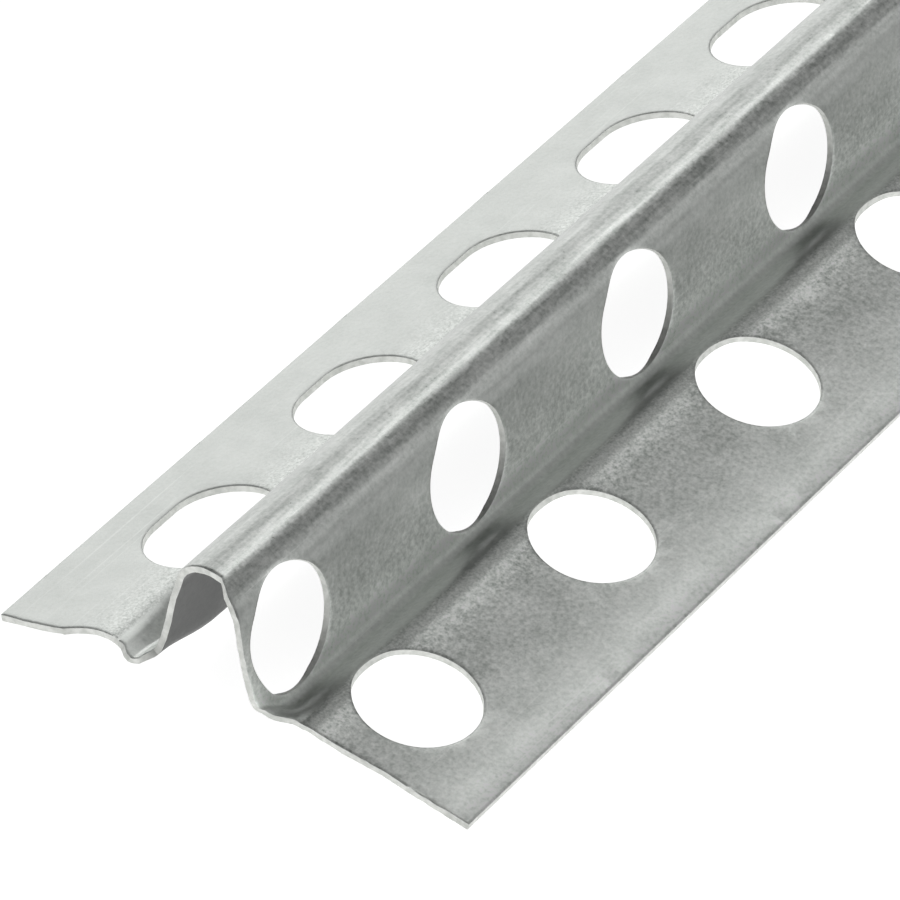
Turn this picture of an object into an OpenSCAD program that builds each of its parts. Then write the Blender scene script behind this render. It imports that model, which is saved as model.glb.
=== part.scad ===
// Plaster screed bead: one strip of galvanised sheet, punched with rows of holes while flat and
// then roll-formed into a narrow ridge between two drooping flanges. It lies on its flange edges,
// length along X, ridge up. Sizes are in millimetres, slopes in degrees from the level.

/* [Strip] */
// Length of the bead as it is sold
bead_l = 2500; // [500:100:3000]
// Thickness of the galvanised sheet
sheet_t = 0.3; // [0.25:0.05:0.35]

/* [Ridge] */
// Height of the crown above the foot of the walls
ridge_h = 5.1; // [4.9:0.1:6]
// Width of the flat along the crown
crown_w = 1.4; // [1:0.1:1.8]
// Radius of the bends at each side of the crown, on the outside of the sheet
crown_r = 1.1; // [0.9:0.1:1.2]
// Slope of the walls
wall_slope = 80; // [76:1:84]
// Radius of the bends at the foot of the walls, on the upper face of the sheet
foot_r = 0.3; // [0.25:0.05:0.4]

/* [Flanges] */
// Width of the band that rises a little between each foot bend and the crease
band_w = 1.6; // [1.4:0.1:2.2]
// Slope of that band, rising outwards
band_rise = 6; // [0:1:7]
// Width of the flange with the round holes, outside its crease
wide_flange_w = 7.4; // [6:0.1:8]
// Slope of that flange, falling outwards
wide_flange_slope = 9.5; // [7:0.5:12]
// Width of the flange with the oval holes, outside its crease
narrow_flange_w = 5.2; // [4.8:0.1:6]

/* [Holes on the wide side] */
// Distance between holes, shared by the wall row and the flange row beside it
pitch = 11.8; // [11:0.2:16]
// Diameter of the holes in the wall
wall_hole_d = 5; // [4.4:0.1:5]
// Height of the wall holes' centres above the foot bend, measured along the sheet
wall_hole_up = 1.9; // [1.8:0.05:2.1]
// Distance of the first wall hole from the end of the strip
wall_hole_start = 3.1; // [2.8:0.1:6]
// Diameter of the holes in the flange
flange_hole_d = 5; // [4:0.1:5.2]
// Distance of the flange holes' centres beyond the crease
flange_hole_out = 2.2; // [1.9:0.1:3]
// Distance of the first flange hole from the end of the strip
flange_hole_start = 4.9; // [4:0.1:8]

/* [Holes on the narrow side] */
// Distance between the oval holes
oval_pitch = 10; // [9:0.2:14]
// Length of the oval holes along the strip
oval_l = 5.9; // [5.2:0.1:6.4]
// Width of the oval holes across the strip
oval_w = 4.6; // [4:0.1:4.7]
// Distance of the oval holes' centres beyond the crease
oval_out = 0.9; // [0.8:0.1:1.6]
// Distance by which the first oval's centre lies outside the cut end
oval_overrun = 1.4; // [0.5:0.1:2.4]

/* [Hidden] */
round_fn = 48;
crown_steps = 5;
foot_steps = 3;
turn = 360;
punch_reach = 1;
bend_punch_reach = 0.6;
// the two punches of a wall hole overlap by this much, and the one in the bend is this much narrower
punch_lap = 0.05;
// the narrow flange falls as far as the wide one, so that both edges meet the floor
flange_drop = wide_flange_w * sin(wide_flange_slope);
narrow_flange_slope = asin(flange_drop / narrow_flange_w);
// length of flat wall left between the crown bend and the foot bend
wall_l = (ridge_h - crown_r * (1 - cos(wall_slope)) - foot_r * (cos(band_rise) - cos(wall_slope)))
    / sin(wall_slope);
// the foot of the walls stands this high over the floor
foot_z = flange_drop - band_w * sin(band_rise) + sheet_t * cos(wide_flange_slope);
crown_z = foot_z + ridge_h;
// points along the upper face of the sheet, going outwards from the crown
crown_c = [crown_w / 2, crown_z - crown_r];
wall_top = crown_c + crown_r * square_to(wall_slope);
wall_foot = wall_top + wall_l * down(wall_slope);
foot_c = wall_foot + foot_r * square_to(wall_slope);
band_start = foot_c - foot_r * square_to(-band_rise);
crease = band_start + band_w * down(-band_rise);
// the origin lies under the middle of the whole width, so the ridge stands to one side of it
ridge_y = (wide_flange_w * cos(wide_flange_slope) - narrow_flange_w * cos(narrow_flange_slope)) / 2;

// direction out of the upper face of a stretch of sheet that falls outwards at a slope
function square_to(slope) = [sin(slope), cos(slope)];
// direction outwards along such a stretch
function down(slope) = [cos(slope), -sin(slope)];

// points of one half of the section, outwards from the crown, at a height over the sheet's
// upper face: round the crown bend, round the foot bend, then the crease and the flange's edge
function half_face(flange_w, flange_slope, over) = [
    for (i = [0 : crown_steps])
        crown_c + (crown_r + over) * square_to(wall_slope * i / crown_steps),
    for (i = [0 : foot_steps])
        foot_c - (foot_r - over) * square_to(wall_slope - (wall_slope + band_rise) * i / foot_steps),
    crease + over / cos((flange_slope + band_rise) / 2) * square_to((flange_slope - band_rise) / 2),
    crease + flange_w * down(flange_slope) + over * square_to(flange_slope)
];

function mirrored(points) = [for (p = points) [-p[0], p[1]]];
function reversed(points) = [for (i = [len(points) - 1 : -1 : 0]) points[i]];

// the roll-formed section: its upper face from edge to edge, and back along its lower face
module section() {
    polygon(concat(
        reversed(mirrored(half_face(wide_flange_w, wide_flange_slope, 0))),
        half_face(narrow_flange_w, narrow_flange_slope, 0),
        reversed(half_face(narrow_flange_w, narrow_flange_slope, -sheet_t)),
        mirrored(half_face(wide_flange_w, wide_flange_slope, -sheet_t))
    ));
}

// the strip before its holes are cut, with its section swept along X
module strip() {
    rotate([90, 0, 90]) translate([0, 0, -bead_l / 2]) linear_extrude(bead_l) section();
}

// a row of punches along X, the first at a distance in from the near end
module punch_row(start, step) {
    for (x = [start : step : bead_l + step / 2]) translate([x - bead_l / 2, 0, 0]) children();
}

// a flat punch outline set square to the sheet where it lies at a place and a slope; in the
// outline, +Y points out along the sheet
module punch(place, slope, reach) {
    translate([0, place[0], place[1]]) rotate([-slope, 0, 0])
        translate([0, 0, -reach]) linear_extrude(2 * reach) children();
}

// a wall hole's outline on the flat wall, cut off just past the wall's foot
module wall_hole() {
    intersection() {
        translate([0, -wall_hole_up]) circle(d = wall_hole_d, $fn = round_fn);
        translate([-wall_hole_d, -2 * wall_hole_d]) square([2 * wall_hole_d, 2 * wall_hole_d + punch_lap]);
    }
}

// the rest of that hole, which runs on round the foot bend, as seen square to the bend's middle:
// the same chord as at the wall's foot, with an arc that is flatter by the turn of the bend
module wall_hole_end() {
    half_turn = (wall_slope + band_rise) / 2;
    run_turn = (wall_hole_d / 2 - wall_hole_up) / (foot_r + sheet_t / 2) * turn / (2 * PI);
    half_chord = sqrt(pow(wall_hole_d / 2, 2) - pow(wall_hole_up + punch_lap, 2)) - punch_lap;
    depth = foot_r * (sin(half_turn) - sin(half_turn - run_turn));
    arc_r = (pow(half_chord, 2) + pow(depth, 2)) / (2 * depth);
    start = -(foot_r + sheet_t) * sin(half_turn) - punch_lap;
    intersection() {
        translate([0, depth - foot_r * sin(half_turn) - arc_r]) circle(r = arc_r, $fn = round_fn);
        translate([-half_chord, start]) square([2 * half_chord, depth - start]);
    }
}

// each wall hole takes one punch square to the wall and one square to the middle of the bend
module wall_punches() {
    mid_slope = (wall_slope - band_rise) / 2;
    mirror([0, 1, 0]) punch_row(wall_hole_start, pitch) {
        punch(wall_foot, wall_slope, punch_reach) wall_hole();
        punch(foot_c - foot_r * square_to(mid_slope), mid_slope, bend_punch_reach) wall_hole_end();
    }
}

// round punches through the flange beside that wall
module flange_punches() {
    mirror([0, 1, 0]) punch_row(flange_hole_start, pitch)
        punch(crease + flange_hole_out * down(wide_flange_slope), wide_flange_slope, punch_reach)
            circle(d = flange_hole_d, $fn = round_fn);
}

// oval punches through the other flange and its band, square to the middle of the crease
module oval_punches() {
    half_run = (oval_l - oval_w) / 2;
    mid_slope = (narrow_flange_slope - band_rise) / 2;
    punch_row(-oval_overrun, oval_pitch)
        punch(crease + oval_out * down(mid_slope), mid_slope, punch_reach) {
            for (side = [-1, 1]) translate([side * half_run, 0]) circle(d = oval_w, $fn = round_fn);
            translate([-half_run, -oval_w / 2]) square([2 * half_run, oval_w]);
        }
}

module bead() {
    color("lightgrey") translate([0, ridge_y, 0]) difference() {
        strip();
        wall_punches();
        flange_punches();
        oval_punches();
    }
}

bead();
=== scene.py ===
from math import asin, atan2, cos, degrees, hypot, pi, radians, sin, tan

import bmesh
import bpy
from mathutils import Matrix, Vector, noise


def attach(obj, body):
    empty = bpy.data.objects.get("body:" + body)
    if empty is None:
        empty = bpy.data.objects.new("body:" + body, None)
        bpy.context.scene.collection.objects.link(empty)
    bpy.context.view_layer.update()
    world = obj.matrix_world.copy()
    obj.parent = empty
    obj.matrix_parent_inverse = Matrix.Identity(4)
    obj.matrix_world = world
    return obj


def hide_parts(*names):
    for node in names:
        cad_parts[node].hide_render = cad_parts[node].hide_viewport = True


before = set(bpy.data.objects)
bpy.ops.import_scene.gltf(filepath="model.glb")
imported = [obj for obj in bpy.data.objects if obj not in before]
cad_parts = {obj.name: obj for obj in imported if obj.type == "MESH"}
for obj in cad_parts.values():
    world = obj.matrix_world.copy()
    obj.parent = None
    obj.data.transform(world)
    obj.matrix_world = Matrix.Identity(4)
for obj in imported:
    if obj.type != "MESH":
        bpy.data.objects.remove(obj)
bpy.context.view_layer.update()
mm = 0.001

# the screed bead, in mm and degrees
bead = {
    # its own sizes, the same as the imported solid's
    "length": 2500,
    "sheet": 0.3,
    "ridgeHeight": 5.1,
    "crownWidth": 1.4,
    "crownRadius": 1.1,
    "wallSlope": 80,
    "footRadius": 0.3,
    "bandWidth": 1.6,
    "bandRise": 6,
    "wideFlange": 7.4,
    "wideSlope": 9.5,
    "narrowFlange": 5.2,
    "pitch": 11.8,
    "wallHole": 5.0,
    "wallHoleUp": 1.9,
    "wallHoleStart": 3.1,
    "flangeHole": 5.0,
    "flangeHoleOut": 2.2,
    "flangeHoleStart": 4.9,
    "ovalPitch": 10,
    "ovalLength": 5.9,
    "ovalWidth": 4.6,
    "ovalOut": 0.9,
    "ovalOverrun": 1.4,
    # how the real strip departs from them
    "crownFlat": 0.4,     # width left flat along the crown, which is rounder than the solid's
    "footDepth": 0.75,    # how much lower than the solid's the feet of the ridge lie
    "deepRadius": 0.35,   # of the bends there, on the upper face
    "creaseIn": 0.25,     # how much nearer the ridge than the solid's the creases lie
    "creaseRadius": 1.2,  # of the bends there, in the middle of the sheet
    "dish": 0.05,         # fall of the flanges' middles
    "inset": 0.01,        # of the slit edges from the solid's
    "holeStretch": 1.04,  # of the wall holes down the wall, as the bend drew them
    "firstOval": 0.5,     # how much further out than its pitch the oval at the cut end lies
    "pressed": (1.5, 4),  # length pressed back up by the shears, on the wide and the narrow side
    "burr": 0.04,         # raggedness of the cut end
    "burrFade": 0.3,      # from the cut end, where the raggedness ends
    "burrGrain": (2.3, 5),  # its swings in a mm, along the cut and across the thickness
    "wobble": 0.03,       # waviness of the near stretch
    "wobbleGrain": (7, 4),  # from one wave to the next, along the strip and round the section
    "wobbleFade": 20,     # before the near stretch's end, where the waviness fades away
    # out from a hole's edge, and how far the punch drew it down; then the same for the
    # slit edges and the cut end
    "rims": [(0.12, 0.0), (0.05, -0.01), (0.0, -0.035)],
    "edges": [(0.12, 0.0), (0.05, -0.01), (0.0, -0.035)],
    # how finely the sheet is made
    "nearLength": 62,     # from the cut end, which is the stretch seen close
    "nearStep": 1.0,      # between the cross cuts there
    "shearLength": 3,     # from the cut end, which takes in all that the shears did
    "shearCuts": (0.9, 1.3, 1.7, 2.1),  # finer cross cuts there
    "nearSegments": 64,   # round each hole in the near stretch
    "farSegments": 12,    # round every other hole
    "lane": 0.2,          # sheet left beside a hole in its tile
    "crownLines": 8,      # bend lines round each crown bend, of which every 2nd goes on beyond
    "footLines": 6,       # the same round each foot bend, of which every 3rd goes on beyond
    "foldLines": (-0.36, -0.24, -0.12, 0, 0.12, 0.24, 0.36),  # shares of the crease's own bend
    "flangeLines": (0.25, 0.375, 0.5, 0.625, 0.75, 0.88),     # shares of the flange's width
    "plainLines": (2.9, 4.2, 5.4, 8.1),  # mm round the section, on the walls and the bands
    "touching": 1e-3,     # points this near each other are one
    "sharp": 32,          # degrees, from which an edge shows as one
}

# the section, measured round the middle of the sheet's thickness
half = bead["sheet"] / 2
wallSlope = radians(bead["wallSlope"])
wideSlope = radians(bead["wideSlope"])
bandRise = radians(bead["bandRise"])
drop = bead["wideFlange"] * sin(wideSlope)
narrowSlope = asin(drop / bead["narrowFlange"])
crownHeight = (drop - bead["bandWidth"] * sin(bandRise) + bead["sheet"] * cos(wideSlope)
               + bead["ridgeHeight"])
ridgeShift = (bead["wideFlange"] * cos(wideSlope) - bead["narrowFlange"] * cos(narrowSlope)) / 2
crownEnd = bead["crownFlat"] / 2
flatLost = bead["crownWidth"] / 2 - crownEnd
crownRadius = bead["crownRadius"] + flatLost / tan(wallSlope / 2) - half
wallTop = crownEnd + crownRadius * wallSlope
wallLength = (bead["ridgeHeight"] - bead["crownRadius"] * (1 - cos(wallSlope))
              - bead["footRadius"] * (cos(bandRise) - cos(wallSlope))) / sin(wallSlope) - flatLost


def sideOf(slope, width):
    # one side of the ridge: where round the section the foot bend, the band, the crease and the
    # slit edge come
    corner = bead["footRadius"] * tan((wallSlope + bandRise) / 2)
    band = bead["bandWidth"] + corner
    run = (band * cos(bandRise) - bead["creaseIn"] * cos(slope)
           - bead["footDepth"] / tan(wallSlope))
    rise = band * sin(bandRise) + bead["creaseIn"] * sin(slope) + bead["footDepth"]
    bandSlope = atan2(rise, run)
    turn = wallSlope + bandSlope
    taken = bead["deepRadius"] * tan(turn / 2)
    foldTurn = slope + bandSlope
    fold = bead["creaseRadius"] * foldTurn
    rounded = bead["creaseRadius"] * tan(foldTurn / 2) - fold / 2
    folded = half * tan(foldTurn / 2)
    foot = wallTop + wallLength + corner + bead["footDepth"] / sin(wallSlope) - taken
    bandStart = foot + (bead["deepRadius"] + half) * turn
    crease = bandStart + hypot(run, rise) - taken - folded - rounded
    # length of each stretch from the middle of the crown outwards, with its slope at its start
    # and at its end
    stretches = [(crownEnd, 0, 0),
                 (wallTop - crownEnd, 0, wallSlope),
                 (foot - wallTop, wallSlope, wallSlope),
                 (bandStart - foot, wallSlope, -bandSlope),
                 (crease - bandStart - fold / 2, -bandSlope, -bandSlope),
                 (fold, -bandSlope, slope),
                 (width, slope, slope)]
    return {"foot": foot, "band": bandStart, "crease": crease, "fold": fold,
            "stretches": stretches,
            "edge": crease + width + bead["creaseIn"] - folded - rounded - bead["inset"]}


wideSide = sideOf(wideSlope, bead["wideFlange"])
narrowSide = sideOf(narrowSlope, bead["narrowFlange"])


def onSection(around, lift):
    # where a point comes to lie across and up, for its distance round the section and over the
    # sheet's middle
    side, way = (wideSide, -1) if around < 0 else (narrowSide, 1)
    left, across, up, slope = abs(around), 0.0, crownHeight - half, 0.0
    for length, start, end in side["stretches"]:
        step = min(left, length)
        slope = start
        if start == end:
            across += step * cos(slope)
            up -= step * sin(slope)
        else:
            radius = length / (end - start)
            turned = slope + step / radius
            across += radius * (sin(turned) - sin(slope))
            up += radius * (cos(turned) - cos(slope))
            slope = turned
        left -= step
        if left <= 0:
            break
    out = (abs(around) - side["crease"]) / (side["edge"] - side["crease"])
    if 0 < out < 1:
        up -= bead["dish"] * sin(pi * out)
    return way * (across + lift * sin(slope)) + ridgeShift, up + lift * cos(slope)


# how far the shears left the end behind a square cut, by the distance round the section
# from the middle of the crown; minus is the side of the wide flange
endCut = [(-16.4, 0.84), (-14.3, 0.86), (-12.2, 0.94), (-10.3, 0.82), (-9.0, 0.82), (-8.0, 0.84),
          (-7.2, 0.72), (-6.6, 0.45), (-6.0, 0.30), (-4.6, 0.22), (-3.0, 0.24), (-1.75, 0.32),
          (-1.0, 0.56), (-0.4, 1.08), (0.0, 1.15), (1.0, 1.2), (2.3, 1.35), (3.2, 1.2),
          (4.8, 1.25), (5.9, 1.2), (6.6, 0.95), (7.0, 0.4), (7.4, 0.3), (7.7, 0.42), (8.1, 0.7),
          (8.6, 0.88), (9.3, 0.97), (10.0, 0.9), (10.9, 0.68), (12.3, 0.62), (14.2, 0.64)]


def cutBack(around):
    for (a, near), (b, far) in zip(endCut, endCut[1:]):
        if around <= b:
            return near + (far - near) * (around - a) / (b - a)
    return endCut[-1][1]


def pressedUp(x, around):
    # how far the shears pressed a point near the cut end up from the deep foot
    side, length = ((wideSide, bead["pressed"][0]) if around < 0
                    else (narrowSide, bead["pressed"][1]))
    corner = (side["foot"] + side["band"]) / 2
    nearby = min(1, max(0, 1 - (x - cutBack(around)) / length))
    share = min((abs(around) - wallTop) / (corner - wallTop),
                (side["crease"] - abs(around)) / (side["crease"] - corner))
    return bead["footDepth"] * nearby ** 2 * (3 - 2 * nearby) * max(0, share)


print("section", round(wideSide["edge"] + narrowSide["edge"], 2), "mm round and",
      round(crownHeight, 3), "mm high")

# the flat strip: X runs along it, Y round the section, and each row of holes is a row of tiles;
# run is the straight part each side of a hole's centre, and stretch is across the strip
holeRows = {
    "wall": {"line": -(wallTop + wallLength - bead["wallHoleUp"]),
             "start": bead["wallHoleStart"], "pitch": bead["pitch"],
             "radius": bead["wallHole"] / 2, "run": 0, "stretch": bead["holeStretch"]},
    "flange": {"line": -(wideSide["crease"] + bead["creaseIn"] + bead["flangeHoleOut"]),
               "start": bead["flangeHoleStart"], "pitch": bead["pitch"],
               "radius": bead["flangeHole"] / 2, "run": 0, "stretch": 1},
    "oval": {"line": narrowSide["crease"] + bead["creaseIn"] + bead["ovalOut"],
             "start": -bead["ovalOverrun"], "pitch": bead["ovalPitch"],
             "radius": bead["ovalWidth"] / 2,
             "run": (bead["ovalLength"] - bead["ovalWidth"]) / 2, "stretch": 1},
}
for row in holeRows.values():
    reach = row["radius"] * row["stretch"] + bead["lane"]
    # across the strip, where the row's tiles begin and end
    row["lanes"] = (row["line"] - reach, row["line"] + reach)
holeRows["flange"]["lanes"] = (-wideSide["edge"], holeRows["flange"]["lanes"][1])
holeRows["oval"]["lanes"] = (holeRows["oval"]["lanes"][0], narrowSide["edge"])


def edgesOf(verts):
    return list(dict.fromkeys(e for v in verts for e in v.link_edges))


def addOutline(bm, x0, x1, y0, y1):
    middle = Matrix.Translation(((x0 + x1) / 2, (y0 + y1) / 2, 0))
    made = bmesh.ops.create_grid(bm, x_segments=1, y_segments=1, size=0.5,
                                 matrix=middle @ Matrix.Diagonal((x1 - x0, y1 - y0, 1, 1)))
    faces = list(dict.fromkeys(f for v in made["verts"] for f in v.link_faces))
    bmesh.ops.delete(bm, geom=faces, context="FACES_ONLY")
    return edgesOf(made["verts"])


def addLoop(bm, x, row, grow, sink, segments):
    turn = Matrix.Rotation(pi / segments, 4, "Z")
    made = bmesh.ops.create_circle(bm, cap_ends=False, segments=segments,
                                   radius=row["radius"] + grow,
                                   matrix=Matrix.Translation((x, row["line"], sink)) @ turn)
    for v in made["verts"]:
        v.co.x += row["run"] if v.co.x > x else -row["run"]
        v.co.y = row["line"] + (v.co.y - row["line"]) * row["stretch"]
    return edgesOf(made["verts"])


def addTile(bm, x, row):
    # one hole in its rectangle of sheet, with the drawn-down rim where it is seen close
    near = x < bead["nearLength"] - row["pitch"] / 2
    segments = bead["nearSegments"] if near else bead["farSegments"]
    outline = addOutline(bm, x - row["pitch"] / 2, x + row["pitch"] / 2, *row["lanes"])
    centre = x - (bead["firstOval"] if x < 0 else 0)
    rims = bead["rims"] if near else [(0, 0)]
    loops = [addLoop(bm, centre, row, grow, sink, segments) for grow, sink in rims]
    bmesh.ops.triangle_fill(bm, use_beauty=True, edges=outline + loops[0])
    for outer, inner in zip(loops, loops[1:]):
        bmesh.ops.bridge_loops(bm, edges=outer + inner)


def fillBetween(bm, y0, y1):
    # the plain strip between two rows of tiles, whose corners don't face each other
    def onLine(v, y):
        return abs(v.co.y - y) < bead["touching"]
    edges = [e for e in bm.edges if e.is_boundary
             and any(all(onLine(v, y) for v in e.verts) for y in (y0, y1))]
    verts = dict.fromkeys(v for e in edges for v in e.verts)
    for pick in (min, max):
        ends = [pick((v for v in verts if onLine(v, y)), key=lambda v: v.co.x) for y in (y0, y1)]
        edges.append(bm.edges.new(ends))
    bmesh.ops.triangle_fill(bm, use_beauty=True, edges=edges)


def splitBy(bm, place, square, wanted=None, clear=(False, False)):
    # cut the faces that are wanted, or all of them, along a line through a place and square to a
    # direction; what lies beyond or behind the line can be cleared away
    faces = [f for f in bm.faces if wanted is None or wanted(f.calc_center_median())]
    geom = (faces + list(dict.fromkeys(e for f in faces for e in f.edges))
            + list(dict.fromkeys(v for f in faces for v in f.verts)))
    bmesh.ops.bisect_plane(bm, geom=geom, dist=1e-4, plane_co=place, plane_no=square,
                           clear_outer=clear[0], clear_inner=clear[1])


def isNear(centre):
    return centre.x < bead["nearLength"]


def splitAlong(way, y, wanted=None):
    # a lengthwise line, on the narrow flange's side or, with a way of -1, on the other
    splitBy(strip, (0, way * y, 0), (0, 1, 0), wanted)


strip = bmesh.new()
for row in holeRows.values():
    for i in range(int((bead["length"] - row["start"]) / row["pitch"] + 1.5)):
        addTile(strip, row["start"] + i * row["pitch"], row)
bmesh.ops.remove_doubles(strip, verts=strip.verts[:], dist=bead["touching"])
fillBetween(strip, holeRows["flange"]["lanes"][1], holeRows["wall"]["lanes"][0])
fillBetween(strip, holeRows["wall"]["lanes"][1], holeRows["oval"]["lanes"][0])
splitBy(strip, (0, 0, 0), (1, 0, 0), clear=(False, True))
splitBy(strip, (bead["length"], 0, 0), (1, 0, 0), clear=(True, False))
print("flat strip", len(strip.faces), "faces")

# lines where the sheet will bend: a few along the whole strip, and many more in the near stretch
for way, side in ((-1, wideSide), (1, narrowSide)):
    crease, width = side["crease"], side["edge"] - side["crease"]
    for start, end, count, coarse in ((crownEnd, wallTop, bead["crownLines"], 2),
                                      (side["foot"], side["band"], bead["footLines"], 3)):
        for i in range(count + 1):
            splitAlong(way, start + (end - start) * i / count, None if i % coarse == 0 else isNear)
    for end in (-0.5, 0.5):
        splitAlong(way, crease + end * side["fold"])
    for share in bead["foldLines"]:
        splitAlong(way, crease + share * side["fold"], isNear)
    for share in bead["flangeLines"]:
        splitAlong(way, crease + share * width, isNear)
    for y in bead["plainLines"]:
        splitAlong(way, y, isNear)
    for back, sink in bead["edges"][:2]:
        splitAlong(way, side["edge"] - back, isNear)
splitAlong(1, 0, isNear)
for x in bead["shearCuts"]:
    splitBy(strip, (x, 0, 0), (1, 0, 0), isNear)
for i in range(2, int(bead["nearLength"] / bead["nearStep"])):
    splitBy(strip, (bead["nearStep"] * (i + 0.5), 0, 0), (1, 0, 0), isNear)
print("with its bend lines", len(strip.faces), "faces")


def isSheared(centre):
    return centre.x < bead["shearLength"]


# the near end is sheared off askew, through whatever holes lie there
for around, back in endCut[1:-1]:
    splitBy(strip, (0, around, 0), (0, 1, 0), isSheared)
for (a, near), (b, far) in zip(endCut, endCut[1:]):
    for back, sink in bead["edges"]:
        splitBy(strip, (near + back, a, 0), (b - a, near - far, 0),
                lambda c: isSheared(c) and a < c.y < b)
centres = {f: f.calc_center_median() for f in strip.faces}
offcut = [f for f, centre in centres.items() if centre.x < cutBack(centre.y)]
bmesh.ops.delete(strip, geom=offcut, context="FACES")
print("sheared end", len(strip.faces), "faces")

# the shears drew the edges down a little, which is kept aside while the sheet gets its thickness
for v in strip.verts:
    if v.co.x < bead["nearLength"]:
        for back, sink in bead["edges"]:
            atEnd = abs(v.co.x - back - cutBack(v.co.y)) < 2 * bead["touching"]
            atSlit = min(abs(v.co.y + wideSide["edge"] - back),
                         abs(v.co.y - narrowSide["edge"] + back)) < bead["touching"]
            if atEnd or atSlit:
                v.co.z = min(v.co.z, sink)
drawn = {}
for v in strip.verts:
    drawn[round(v.co.x, 3), round(v.co.y, 3)] = v.co.z
    v.co.z = 0
bmesh.ops.recalc_face_normals(strip, faces=strip.faces[:])
if sum(f.normal.z for f in strip.faces) < 0:
    bmesh.ops.reverse_faces(strip, faces=strip.faces[:])
bmesh.ops.solidify(strip, geom=strip.faces[:], thickness=bead["sheet"])
middle = (min(v.co.z for v in strip.verts) + max(v.co.z for v in strip.verts)) / 2

# the cut faces stand square to the sheet, and the lower face between the walls gets painted shade
strip.normal_update()
hollowShade = strip.faces.layers.float.new("hollowShade")
for f in strip.faces:
    centre = f.calc_center_median()
    f.material_index = 1 if abs(f.normal.z) < 0.5 else 0
    f[hollowShade] = float(centre.z < middle and abs(centre.y) < wideSide["foot"] + bead["sheet"])

# each point keeps its place on the flat strip, in mm, and then the sheet is bent
flat = strip.verts.layers.float_vector.new("flat")
for v in strip.verts:
    x, around, z = v.co
    v[flat] = v.co
    lift = half + drawn[round(x, 3), round(around, 3)] if z > middle else -half
    if x < bead["shearLength"]:
        along, through = bead["burrGrain"]
        ragged = noise.noise((around * along, 4.1, lift * through))
        x += bead["burr"] * ragged * max(0, 1 - (x - cutBack(around)) / bead["burrFade"])
    if x < bead["nearLength"]:
        fade = min(1, (bead["nearLength"] - x) / bead["wobbleFade"])
        along, aside = bead["wobbleGrain"]
        wave = 0.5 + 0.5 * noise.noise((x / along, around / aside, 1.7))
        lift -= bead["wobble"] * fade * wave
    across, up = onSection(around, lift)
    up += pressedUp(x, around)
    v.co = Vector((max(x, 0) - bead["length"] / 2, across, max(up, 0))) * mm
bmesh.ops.recalc_face_normals(strip, faces=strip.faces[:])
mesh = bpy.data.meshes.new("screedStrip")
strip.to_mesh(mesh)
strip.free()
screedStrip = bpy.data.objects.new("screed_strip", mesh)
bpy.context.scene.collection.objects.link(screedStrip)
mesh.shade_smooth()
mesh.set_sharp_from_angle(angle=radians(bead["sharp"]))
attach(screedStrip, "root")
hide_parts("bead")
print("screed strip", sum(len(p.vertices) - 2 for p in mesh.polygons), "triangles")


def toLinear(hexColour):
    parts = [int(hexColour[i:i + 2], 16) / 255 for i in (1, 3, 5)]
    return [c / 12.92 if c <= 0.04045 else ((c + 0.055) / 1.055) ** 2.4 for c in parts] + [1]


def addNode(tree, kind, settings=None, **inputs):
    # a node with its settings, and with its inputs set or linked; i0 is the first input, and a
    # node given as an input stands for its first output
    node = tree.nodes.new(kind)
    for name, value in (settings or {}).items():
        setattr(node, name, value)
    for name, value in inputs.items():
        socket = node.inputs[int(name[1:]) if name[1:].isdigit() else name]
        if isinstance(value, bpy.types.Node):
            value = value.outputs[0]
        if isinstance(value, bpy.types.NodeSocket):
            tree.links.new(value, socket)
        else:
            socket.default_value = value
    return node


zinc = {
    "light": "#f6f8f5",
    "dark": "#8a908b",
    "grain": 0.2,        # mm across the fine mottling of a zinc coat skin-passed at the mill
    "patch": 1.3,        # mm across the cloudy patches that it gathers into
    "patchShare": 0.3,   # how strongly it gathers
    "contrast": 3.4,     # of the mottling
    "scratch": 0.1,      # mm between the lines along which the guides may have scored the strip
    "scratchDrawn": 0.008,  # how much more slowly those change along the strip
    "scored": (0.66, 0.74),  # how few of them did, out of 1
    "score": 0.12,       # how much lighter those are
    "streak": 0.22,      # mm between the streaks that the rolls rubbed along the crown
    "streakDrawn": 0.07,  # how much more slowly those change along the strip
    "streaking": 0.9,    # how strong they are
    "fleck": 0.11,       # mm across the flecks where the coat crazed at the creases
    "flecking": 1.4,     # how strong those are
    "fleckStart": (-0.1, 0.05),  # mm beyond a crease, where they begin
    "fleckReach": 2.4,   # mm beyond it, where they have faded away
    "hollowShade": 0.12,      # brightness of the lower face under the ridge: painted shade
    "dullness": 0.3,     # how much the roughness swings with the grain
    "relief": 0.25,      # strength of the grain's relief
    "reliefDepth": 0.01,  # mm
}
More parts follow.
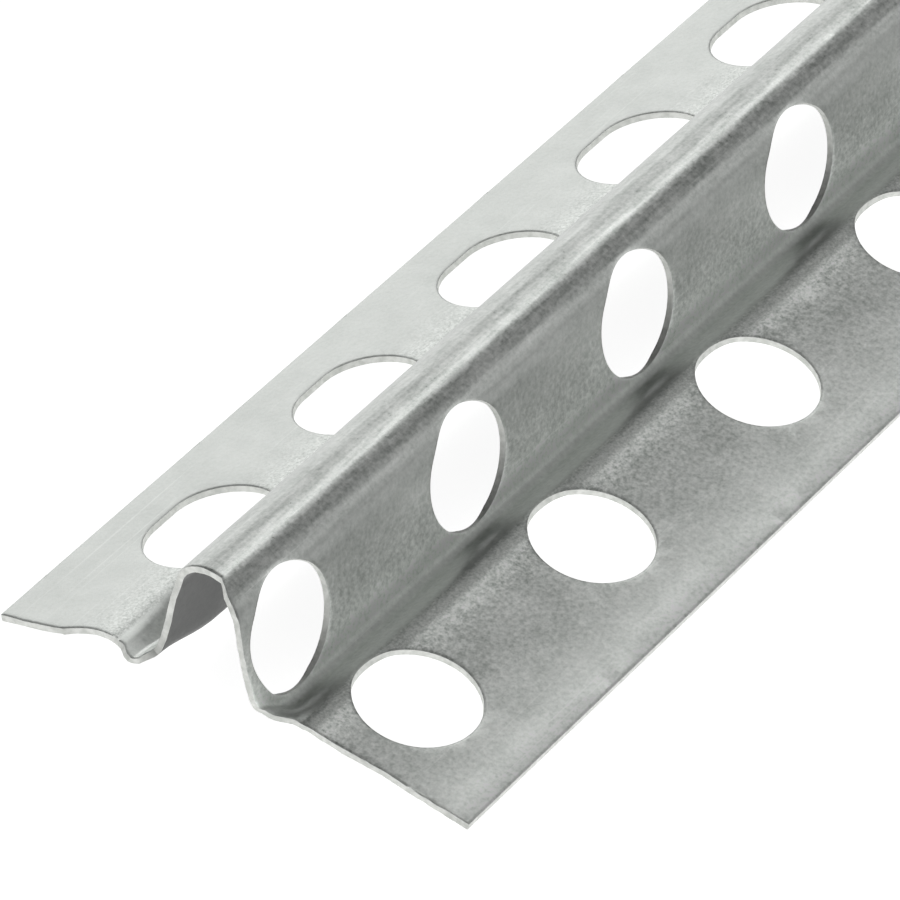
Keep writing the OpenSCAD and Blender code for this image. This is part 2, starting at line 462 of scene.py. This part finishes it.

# for each lengthwise strip, by the distance round the section: its brightness, which is painted
# highlight and shade along the crown, walls, feet and flanges; then its roughness, and how
# strongly it is mottled and streaked, as the rolls and the weather left it
shadeAndFinishZones = [(-16.3, 1.6, 0.4, 0.6, 0), (-15.4, 1.5, 0.4, 0.6, 0), (-14.2, 1.2, 0.4, 0.7, 0),
         (-12.5, 1.05, 0.4, 0.9, 0), (-11.5, 0.98, 0.4, 1.0, 0), (-10.2, 1.04, 0.38, 1.2, 0),
         (-9.6, 1.25, 0.38, 1.3, 0), (-9.3, 1.35, 0.4, 1.0, 0), (-9.0, 0.95, 0.5, 0.4, 0),
         (-8.7, 0.85, 0.5, 0.3, 0), (-8.3, 1.25, 0.5, 0.3, 0), (-7.25, 1.35, 0.6, 0.3, 0),
         (-6.8, 1.3, 0.6, 0.3, 0), (-6.4, 1.65, 0.6, 0.4, 0), (-5.9, 1.65, 0.55, 0.5, 0),
         (-5.0, 1.2, 0.5, 0.7, 0), (-4.0, 0.92, 0.48, 0.7, 0), (-2.3, 0.64, 0.46, 0.6, 0),
         (-1.8, 0.6, 0.4, 0.5, 0.3), (-1.2, 1.28, 0.36, 0.6, 0.7), (-0.8, 1.0, 0.34, 0.8, 1),
         (-0.4, 1.28, 0.33, 0.8, 1), (-0.15, 0.89, 0.33, 0.8, 1), (0.3, 0.61, 0.33, 0.8, 1),
         (0.7, 0.75, 0.34, 0.6, 0.7), (1.2, 0.92, 0.35, 0.5, 0.2), (6.5, 1.05, 0.4, 0.4, 0),
         (7.6, 1.2, 0.45, 0.4, 0), (9.3, 1.1, 0.45, 0.4, 0), (9.8, 0.95, 0.4, 0.4, 0),
         (14.1, 0.95, 0.4, 0.35, 0)]


def makeZinc():
    # hot-dip galvanised steel, roll-formed: dull and fine-grained, light grey with a faint green,
    # mottled at a fifth of a millimetre, flecked where it is creased, and thinly scored along the
    # strip; over that go painted highlight and shade strip by strip round the section, and painted
    # shade on the lower face under the ridge
    material = bpy.data.materials.new("hot_dip_galvanised_steel")
    material.use_nodes = True
    tree = material.node_tree
    tree.nodes.clear()
    place = addNode(tree, "ShaderNodeTexCoord").outputs["Object"]
    flatPlace = addNode(tree, "ShaderNodeAttribute", {"attribute_name": "flat"})
    onStrip = flatPlace.outputs["Vector"]
    around = addNode(tree, "ShaderNodeSeparateXYZ", Vector=onStrip).outputs[1]

    # two ramps across the strip hold the table above, with what can pass 1 halved: the first the
    # painted highlight and shade, the second the roughness, mottling and streaking
    first, last = shadeAndFinishZones[0][0], shadeAndFinishZones[-1][0]
    share = addNode(tree, "ShaderNodeMapRange", i0=around, i1=first, i2=last, i3=0.0, i4=1.0)
    paintedLightRamp, treated = [addNode(tree, "ShaderNodeValToRGB", i0=share) for i in range(2)]
    for ramp in (paintedLightRamp, treated):
        while len(ramp.color_ramp.elements) < len(shadeAndFinishZones):
            ramp.color_ramp.elements.new(1.0)
    for i, (y, level, rough, mottling, streaking) in enumerate(shadeAndFinishZones):
        for ramp, colour in ((paintedLightRamp, (level / 2, level / 2, level / 2, 1)),
                             (treated, (rough, mottling / 2, streaking, 1))):
            ramp.color_ramp.elements[i].position = (y - first) / (last - first)
            ramp.color_ramp.elements[i].color = colour
    parts = addNode(tree, "ShaderNodeSeparateColor", i0=treated)
    rough, mottling, streaking = parts.outputs[:3]

    # grain and patches swing about nought, and each zone takes its own share of them
    grain = addNode(tree, "ShaderNodeTexNoise", Vector=place, Scale=1 / (zinc["grain"] * mm),
                    Detail=4.0, Roughness=0.65)
    grain = addNode(tree, "ShaderNodeMath", {"operation": "SUBTRACT"}, i0=grain, i1=0.5)
    patch = addNode(tree, "ShaderNodeTexNoise", Vector=place, Scale=1 / (zinc["patch"] * mm),
                    Detail=3.0)
    patch = addNode(tree, "ShaderNodeMath", {"operation": "SUBTRACT"}, i0=patch, i1=0.5)
    mottle = addNode(tree, "ShaderNodeMath", {"operation": "MULTIPLY_ADD"}, i0=patch,
                     i1=zinc["patchShare"], i2=grain)
    shown = addNode(tree, "ShaderNodeMath", {"operation": "MULTIPLY"}, i0=mottle, i1=mottling)

    # flecks start at each crease and fade away outwards
    far = addNode(tree, "ShaderNodeMath", {"operation": "ABSOLUTE"}, i0=around)
    beyond = addNode(tree, "ShaderNodeMath", {"operation": "SUBTRACT"}, i0=far,
                     i1=wideSide["crease"])
    fading = addNode(tree, "ShaderNodeMapRange", i0=beyond, i1=0.0, i2=zinc["fleckReach"],
                     i3=1.0, i4=0.0)
    started = addNode(tree, "ShaderNodeMapRange", i0=beyond, i1=zinc["fleckStart"][0],
                      i2=zinc["fleckStart"][1], i3=0.0, i4=1.0)
    crazed = addNode(tree, "ShaderNodeMath", {"operation": "MULTIPLY"}, i0=fading, i1=started)
    flecks = addNode(tree, "ShaderNodeTexNoise", Vector=place, Scale=1 / (zinc["fleck"] * mm),
                     Detail=2.0, Roughness=0.7)
    flecks = addNode(tree, "ShaderNodeMath", {"operation": "SUBTRACT"}, i0=flecks, i1=0.5)
    flecks = addNode(tree, "ShaderNodeMath", {"operation": "MULTIPLY"}, i0=flecks, i1=crazed)

    # streaks and scores are noise on the flat strip, drawn out along it
    rubbed = addNode(tree, "ShaderNodeMapping", Vector=onStrip,
                     Scale=(zinc["streakDrawn"], 1, 0))
    streaks = addNode(tree, "ShaderNodeTexNoise", Vector=rubbed, Scale=1 / zinc["streak"],
                      Detail=3.0)
    streaks = addNode(tree, "ShaderNodeMath", {"operation": "SUBTRACT"}, i0=streaks, i1=0.5)
    streaks = addNode(tree, "ShaderNodeMath", {"operation": "MULTIPLY"}, i0=streaks,
                      i1=streaking)
    drawnOut = addNode(tree, "ShaderNodeMapping", Vector=onStrip,
                       Scale=(zinc["scratchDrawn"], 1, 0))
    scores = addNode(tree, "ShaderNodeTexNoise", Vector=drawnOut, Scale=1 / zinc["scratch"],
                     Detail=1.0)
    scores = addNode(tree, "ShaderNodeMapRange", i0=scores, i1=zinc["scored"][0],
                     i2=zinc["scored"][1], i3=0.0, i4=1.0)

    # all of it moves the colour between the dark and the light zinc
    level = 0.5
    for pattern, strength in ((shown, zinc["contrast"]), (flecks, zinc["flecking"]),
                              (streaks, zinc["streaking"]), (scores, zinc["score"])):
        level = addNode(tree, "ShaderNodeMath", {"operation": "MULTIPLY_ADD"}, i0=pattern,
                        i1=strength, i2=level)
    mixed = addNode(tree, "ShaderNodeMix", {"data_type": "RGBA", "clamp_factor": True}, i0=level,
                    i6=toLinear(zinc["dark"]), i7=toLinear(zinc["light"])).outputs[2]
    # then each strip round the section takes its painted highlight and shade
    toned = addNode(tree, "ShaderNodeVectorMath", {"operation": "MULTIPLY"}, i0=mixed, i1=paintedLightRamp)
    # the lower face under the ridge is darkened here as painted shade
    inside = addNode(tree, "ShaderNodeAttribute", {"attribute_name": "hollowShade"}).outputs["Fac"]
    paintedShadeScale = addNode(tree, "ShaderNodeMapRange", i0=inside, i1=0.0, i2=1.0, i3=2.0,
                      i4=2.0 * zinc["hollowShade"])
    colour = addNode(tree, "ShaderNodeVectorMath", {"operation": "SCALE"}, i0=toned,
                     Scale=paintedShadeScale)
    dull = addNode(tree, "ShaderNodeMath", {"operation": "MULTIPLY_ADD"}, i0=grain,
                   i1=zinc["dullness"], i2=rough)
    relief = addNode(tree, "ShaderNodeBump", Height=mottle, Strength=zinc["relief"],
                     Distance=zinc["reliefDepth"] * mm)
    shader = addNode(tree, "ShaderNodeBsdfPrincipled", i0=colour, Metallic=1.0, Roughness=dull,
                     Normal=relief)
    addNode(tree, "ShaderNodeOutputMaterial", Surface=shader)
    return material


cutSteel = {
    # both colours lie near white, partly as a painted glint along the cut edges
    "light": "#f2f3f0",
    "dark": "#e0e2de",
    "tear": 0.3,          # mm between the marks that the punch and the shears drew
    "torn": (0.35, 0.62),  # from where to where those turn from dark to light
    "roughness": 0.7,
    "relief": 0.12,       # strength of the marks' relief
    "reliefDepth": 0.01,  # mm
}


def makeCutSteel():
    # the bare steel of punched and sheared edges: brighter than the zinc, and raised near white as
    # a painted glint along the cut edges, with a torn, dull face that catches the light from all
    # round
    material = bpy.data.materials.new("sheared_steel_edge")
    material.use_nodes = True
    tree = material.node_tree
    tree.nodes.clear()
    place = addNode(tree, "ShaderNodeTexCoord").outputs["Object"]
    tear = addNode(tree, "ShaderNodeTexNoise", Vector=place, Scale=1 / (cutSteel["tear"] * mm),
                   Detail=3.0)
    level = addNode(tree, "ShaderNodeMapRange", i0=tear, i1=cutSteel["torn"][0],
                    i2=cutSteel["torn"][1], i3=0.0, i4=1.0)
    colour = addNode(tree, "ShaderNodeMix", {"data_type": "RGBA"}, i0=level,
                     i6=toLinear(cutSteel["dark"]), i7=toLinear(cutSteel["light"])).outputs[2]
    relief = addNode(tree, "ShaderNodeBump", Height=tear, Strength=cutSteel["relief"],
                     Distance=cutSteel["reliefDepth"] * mm)
    shader = addNode(tree, "ShaderNodeBsdfPrincipled", i0=colour, Metallic=1.0,
                     Roughness=cutSteel["roughness"], Normal=relief)
    addNode(tree, "ShaderNodeOutputMaterial", Surface=shader)
    return material


mesh.materials.append(makeZinc())
mesh.materials.append(makeCutSteel())
print("materials made")

studio = {
    "floorSize": 60.0,
    "floor": "#b4b4b4",
    "floorRoughness": 0.9,
    "glow": 0.92,
    "distance": 3.0,       # of the lights from the bead's cut end, in m
    "lights": [            # name, direction from the cut end, half angle that it fills, radiance
        ("ahead", (0.66, 0.665, 0.349), 20, 1.2),
        ("above", (0.66, 0.325, 0.677), 8, 1.6),
        ("lowRight", (0.68, -0.70, 0.21), 19, 0.5),
    ],
    "surround": 0.27,
    "lens": 333.25,
    "sensor": 36,
    "clip": (0.01, 100),
    "eye": (-193.29, -136.65, 199.56),  # mm from the cut end, beside the ridge and over the floor
    "right": (0.55939, -0.82862, 0.02182),
    "up": (0.50344, 0.36055, 0.78521),
    "back": (-0.6585, -0.42825, 0.61885),
}
nearEnd = Vector((-bead["length"] / 2 * mm, ridgeShift * mm, 0))

ground = bmesh.new()
bmesh.ops.create_grid(ground, x_segments=2, y_segments=2, size=studio["floorSize"] / 2)
floorMesh = bpy.data.meshes.new("paleFloor")
ground.to_mesh(floorMesh)
ground.free()
floor = bpy.data.objects.new("pale_floor", floorMesh)
bpy.context.scene.collection.objects.link(floor)
# matt white card that glows a little, so that the ground comes out an even pale white
paper = bpy.data.materials.new("white_card")
paper.use_nodes = True
card = paper.node_tree.nodes["Principled BSDF"]
card.inputs["Base Color"].default_value = toLinear(studio["floor"])
card.inputs["Roughness"].default_value = studio["floorRoughness"]
card.inputs["Emission Color"].default_value = (1, 1, 1, 1)
card.inputs["Emission Strength"].default_value = studio["glow"]
floorMesh.materials.append(paper)

for name, direction, halfAngle, radiance in studio["lights"]:
    radius = studio["distance"] * sin(radians(halfAngle)) / cos(radians(halfAngle))
    data = bpy.data.lights.new(name, "AREA")
    data.shape = "DISK"
    data.size = 2 * radius
    data.energy = radiance * pi * pi * radius ** 2
    lamp = bpy.data.objects.new(name, data)
    bpy.context.scene.collection.objects.link(lamp)
    lamp.location = nearEnd + Vector(direction).normalized() * studio["distance"]
    lamp.rotation_euler = (nearEnd - lamp.location).to_track_quat("-Z", "Y").to_euler()

world = bpy.data.worlds.new("studio")
bpy.context.scene.world = world
world.use_nodes = True
sky = world.node_tree.nodes["Background"]
sky.inputs["Color"].default_value = (1, 1, 1, 1)
sky.inputs["Strength"].default_value = studio["surround"]

cameraData = bpy.data.cameras.new("camera")
cameraData.lens = studio["lens"]
cameraData.sensor_width = studio["sensor"]
cameraData.clip_start, cameraData.clip_end = studio["clip"]
camera = bpy.data.objects.new("camera", cameraData)
bpy.context.scene.collection.objects.link(camera)
axes = Matrix([studio["right"], studio["up"], studio["back"]]).transposed()
camera.matrix_world = Matrix.Translation(nearEnd + Vector(studio["eye"]) * mm) @ axes.to_4x4()
bpy.context.scene.camera = camera
bpy.context.scene.view_settings.view_transform = "Standard"
print("floor, lights and camera placed")
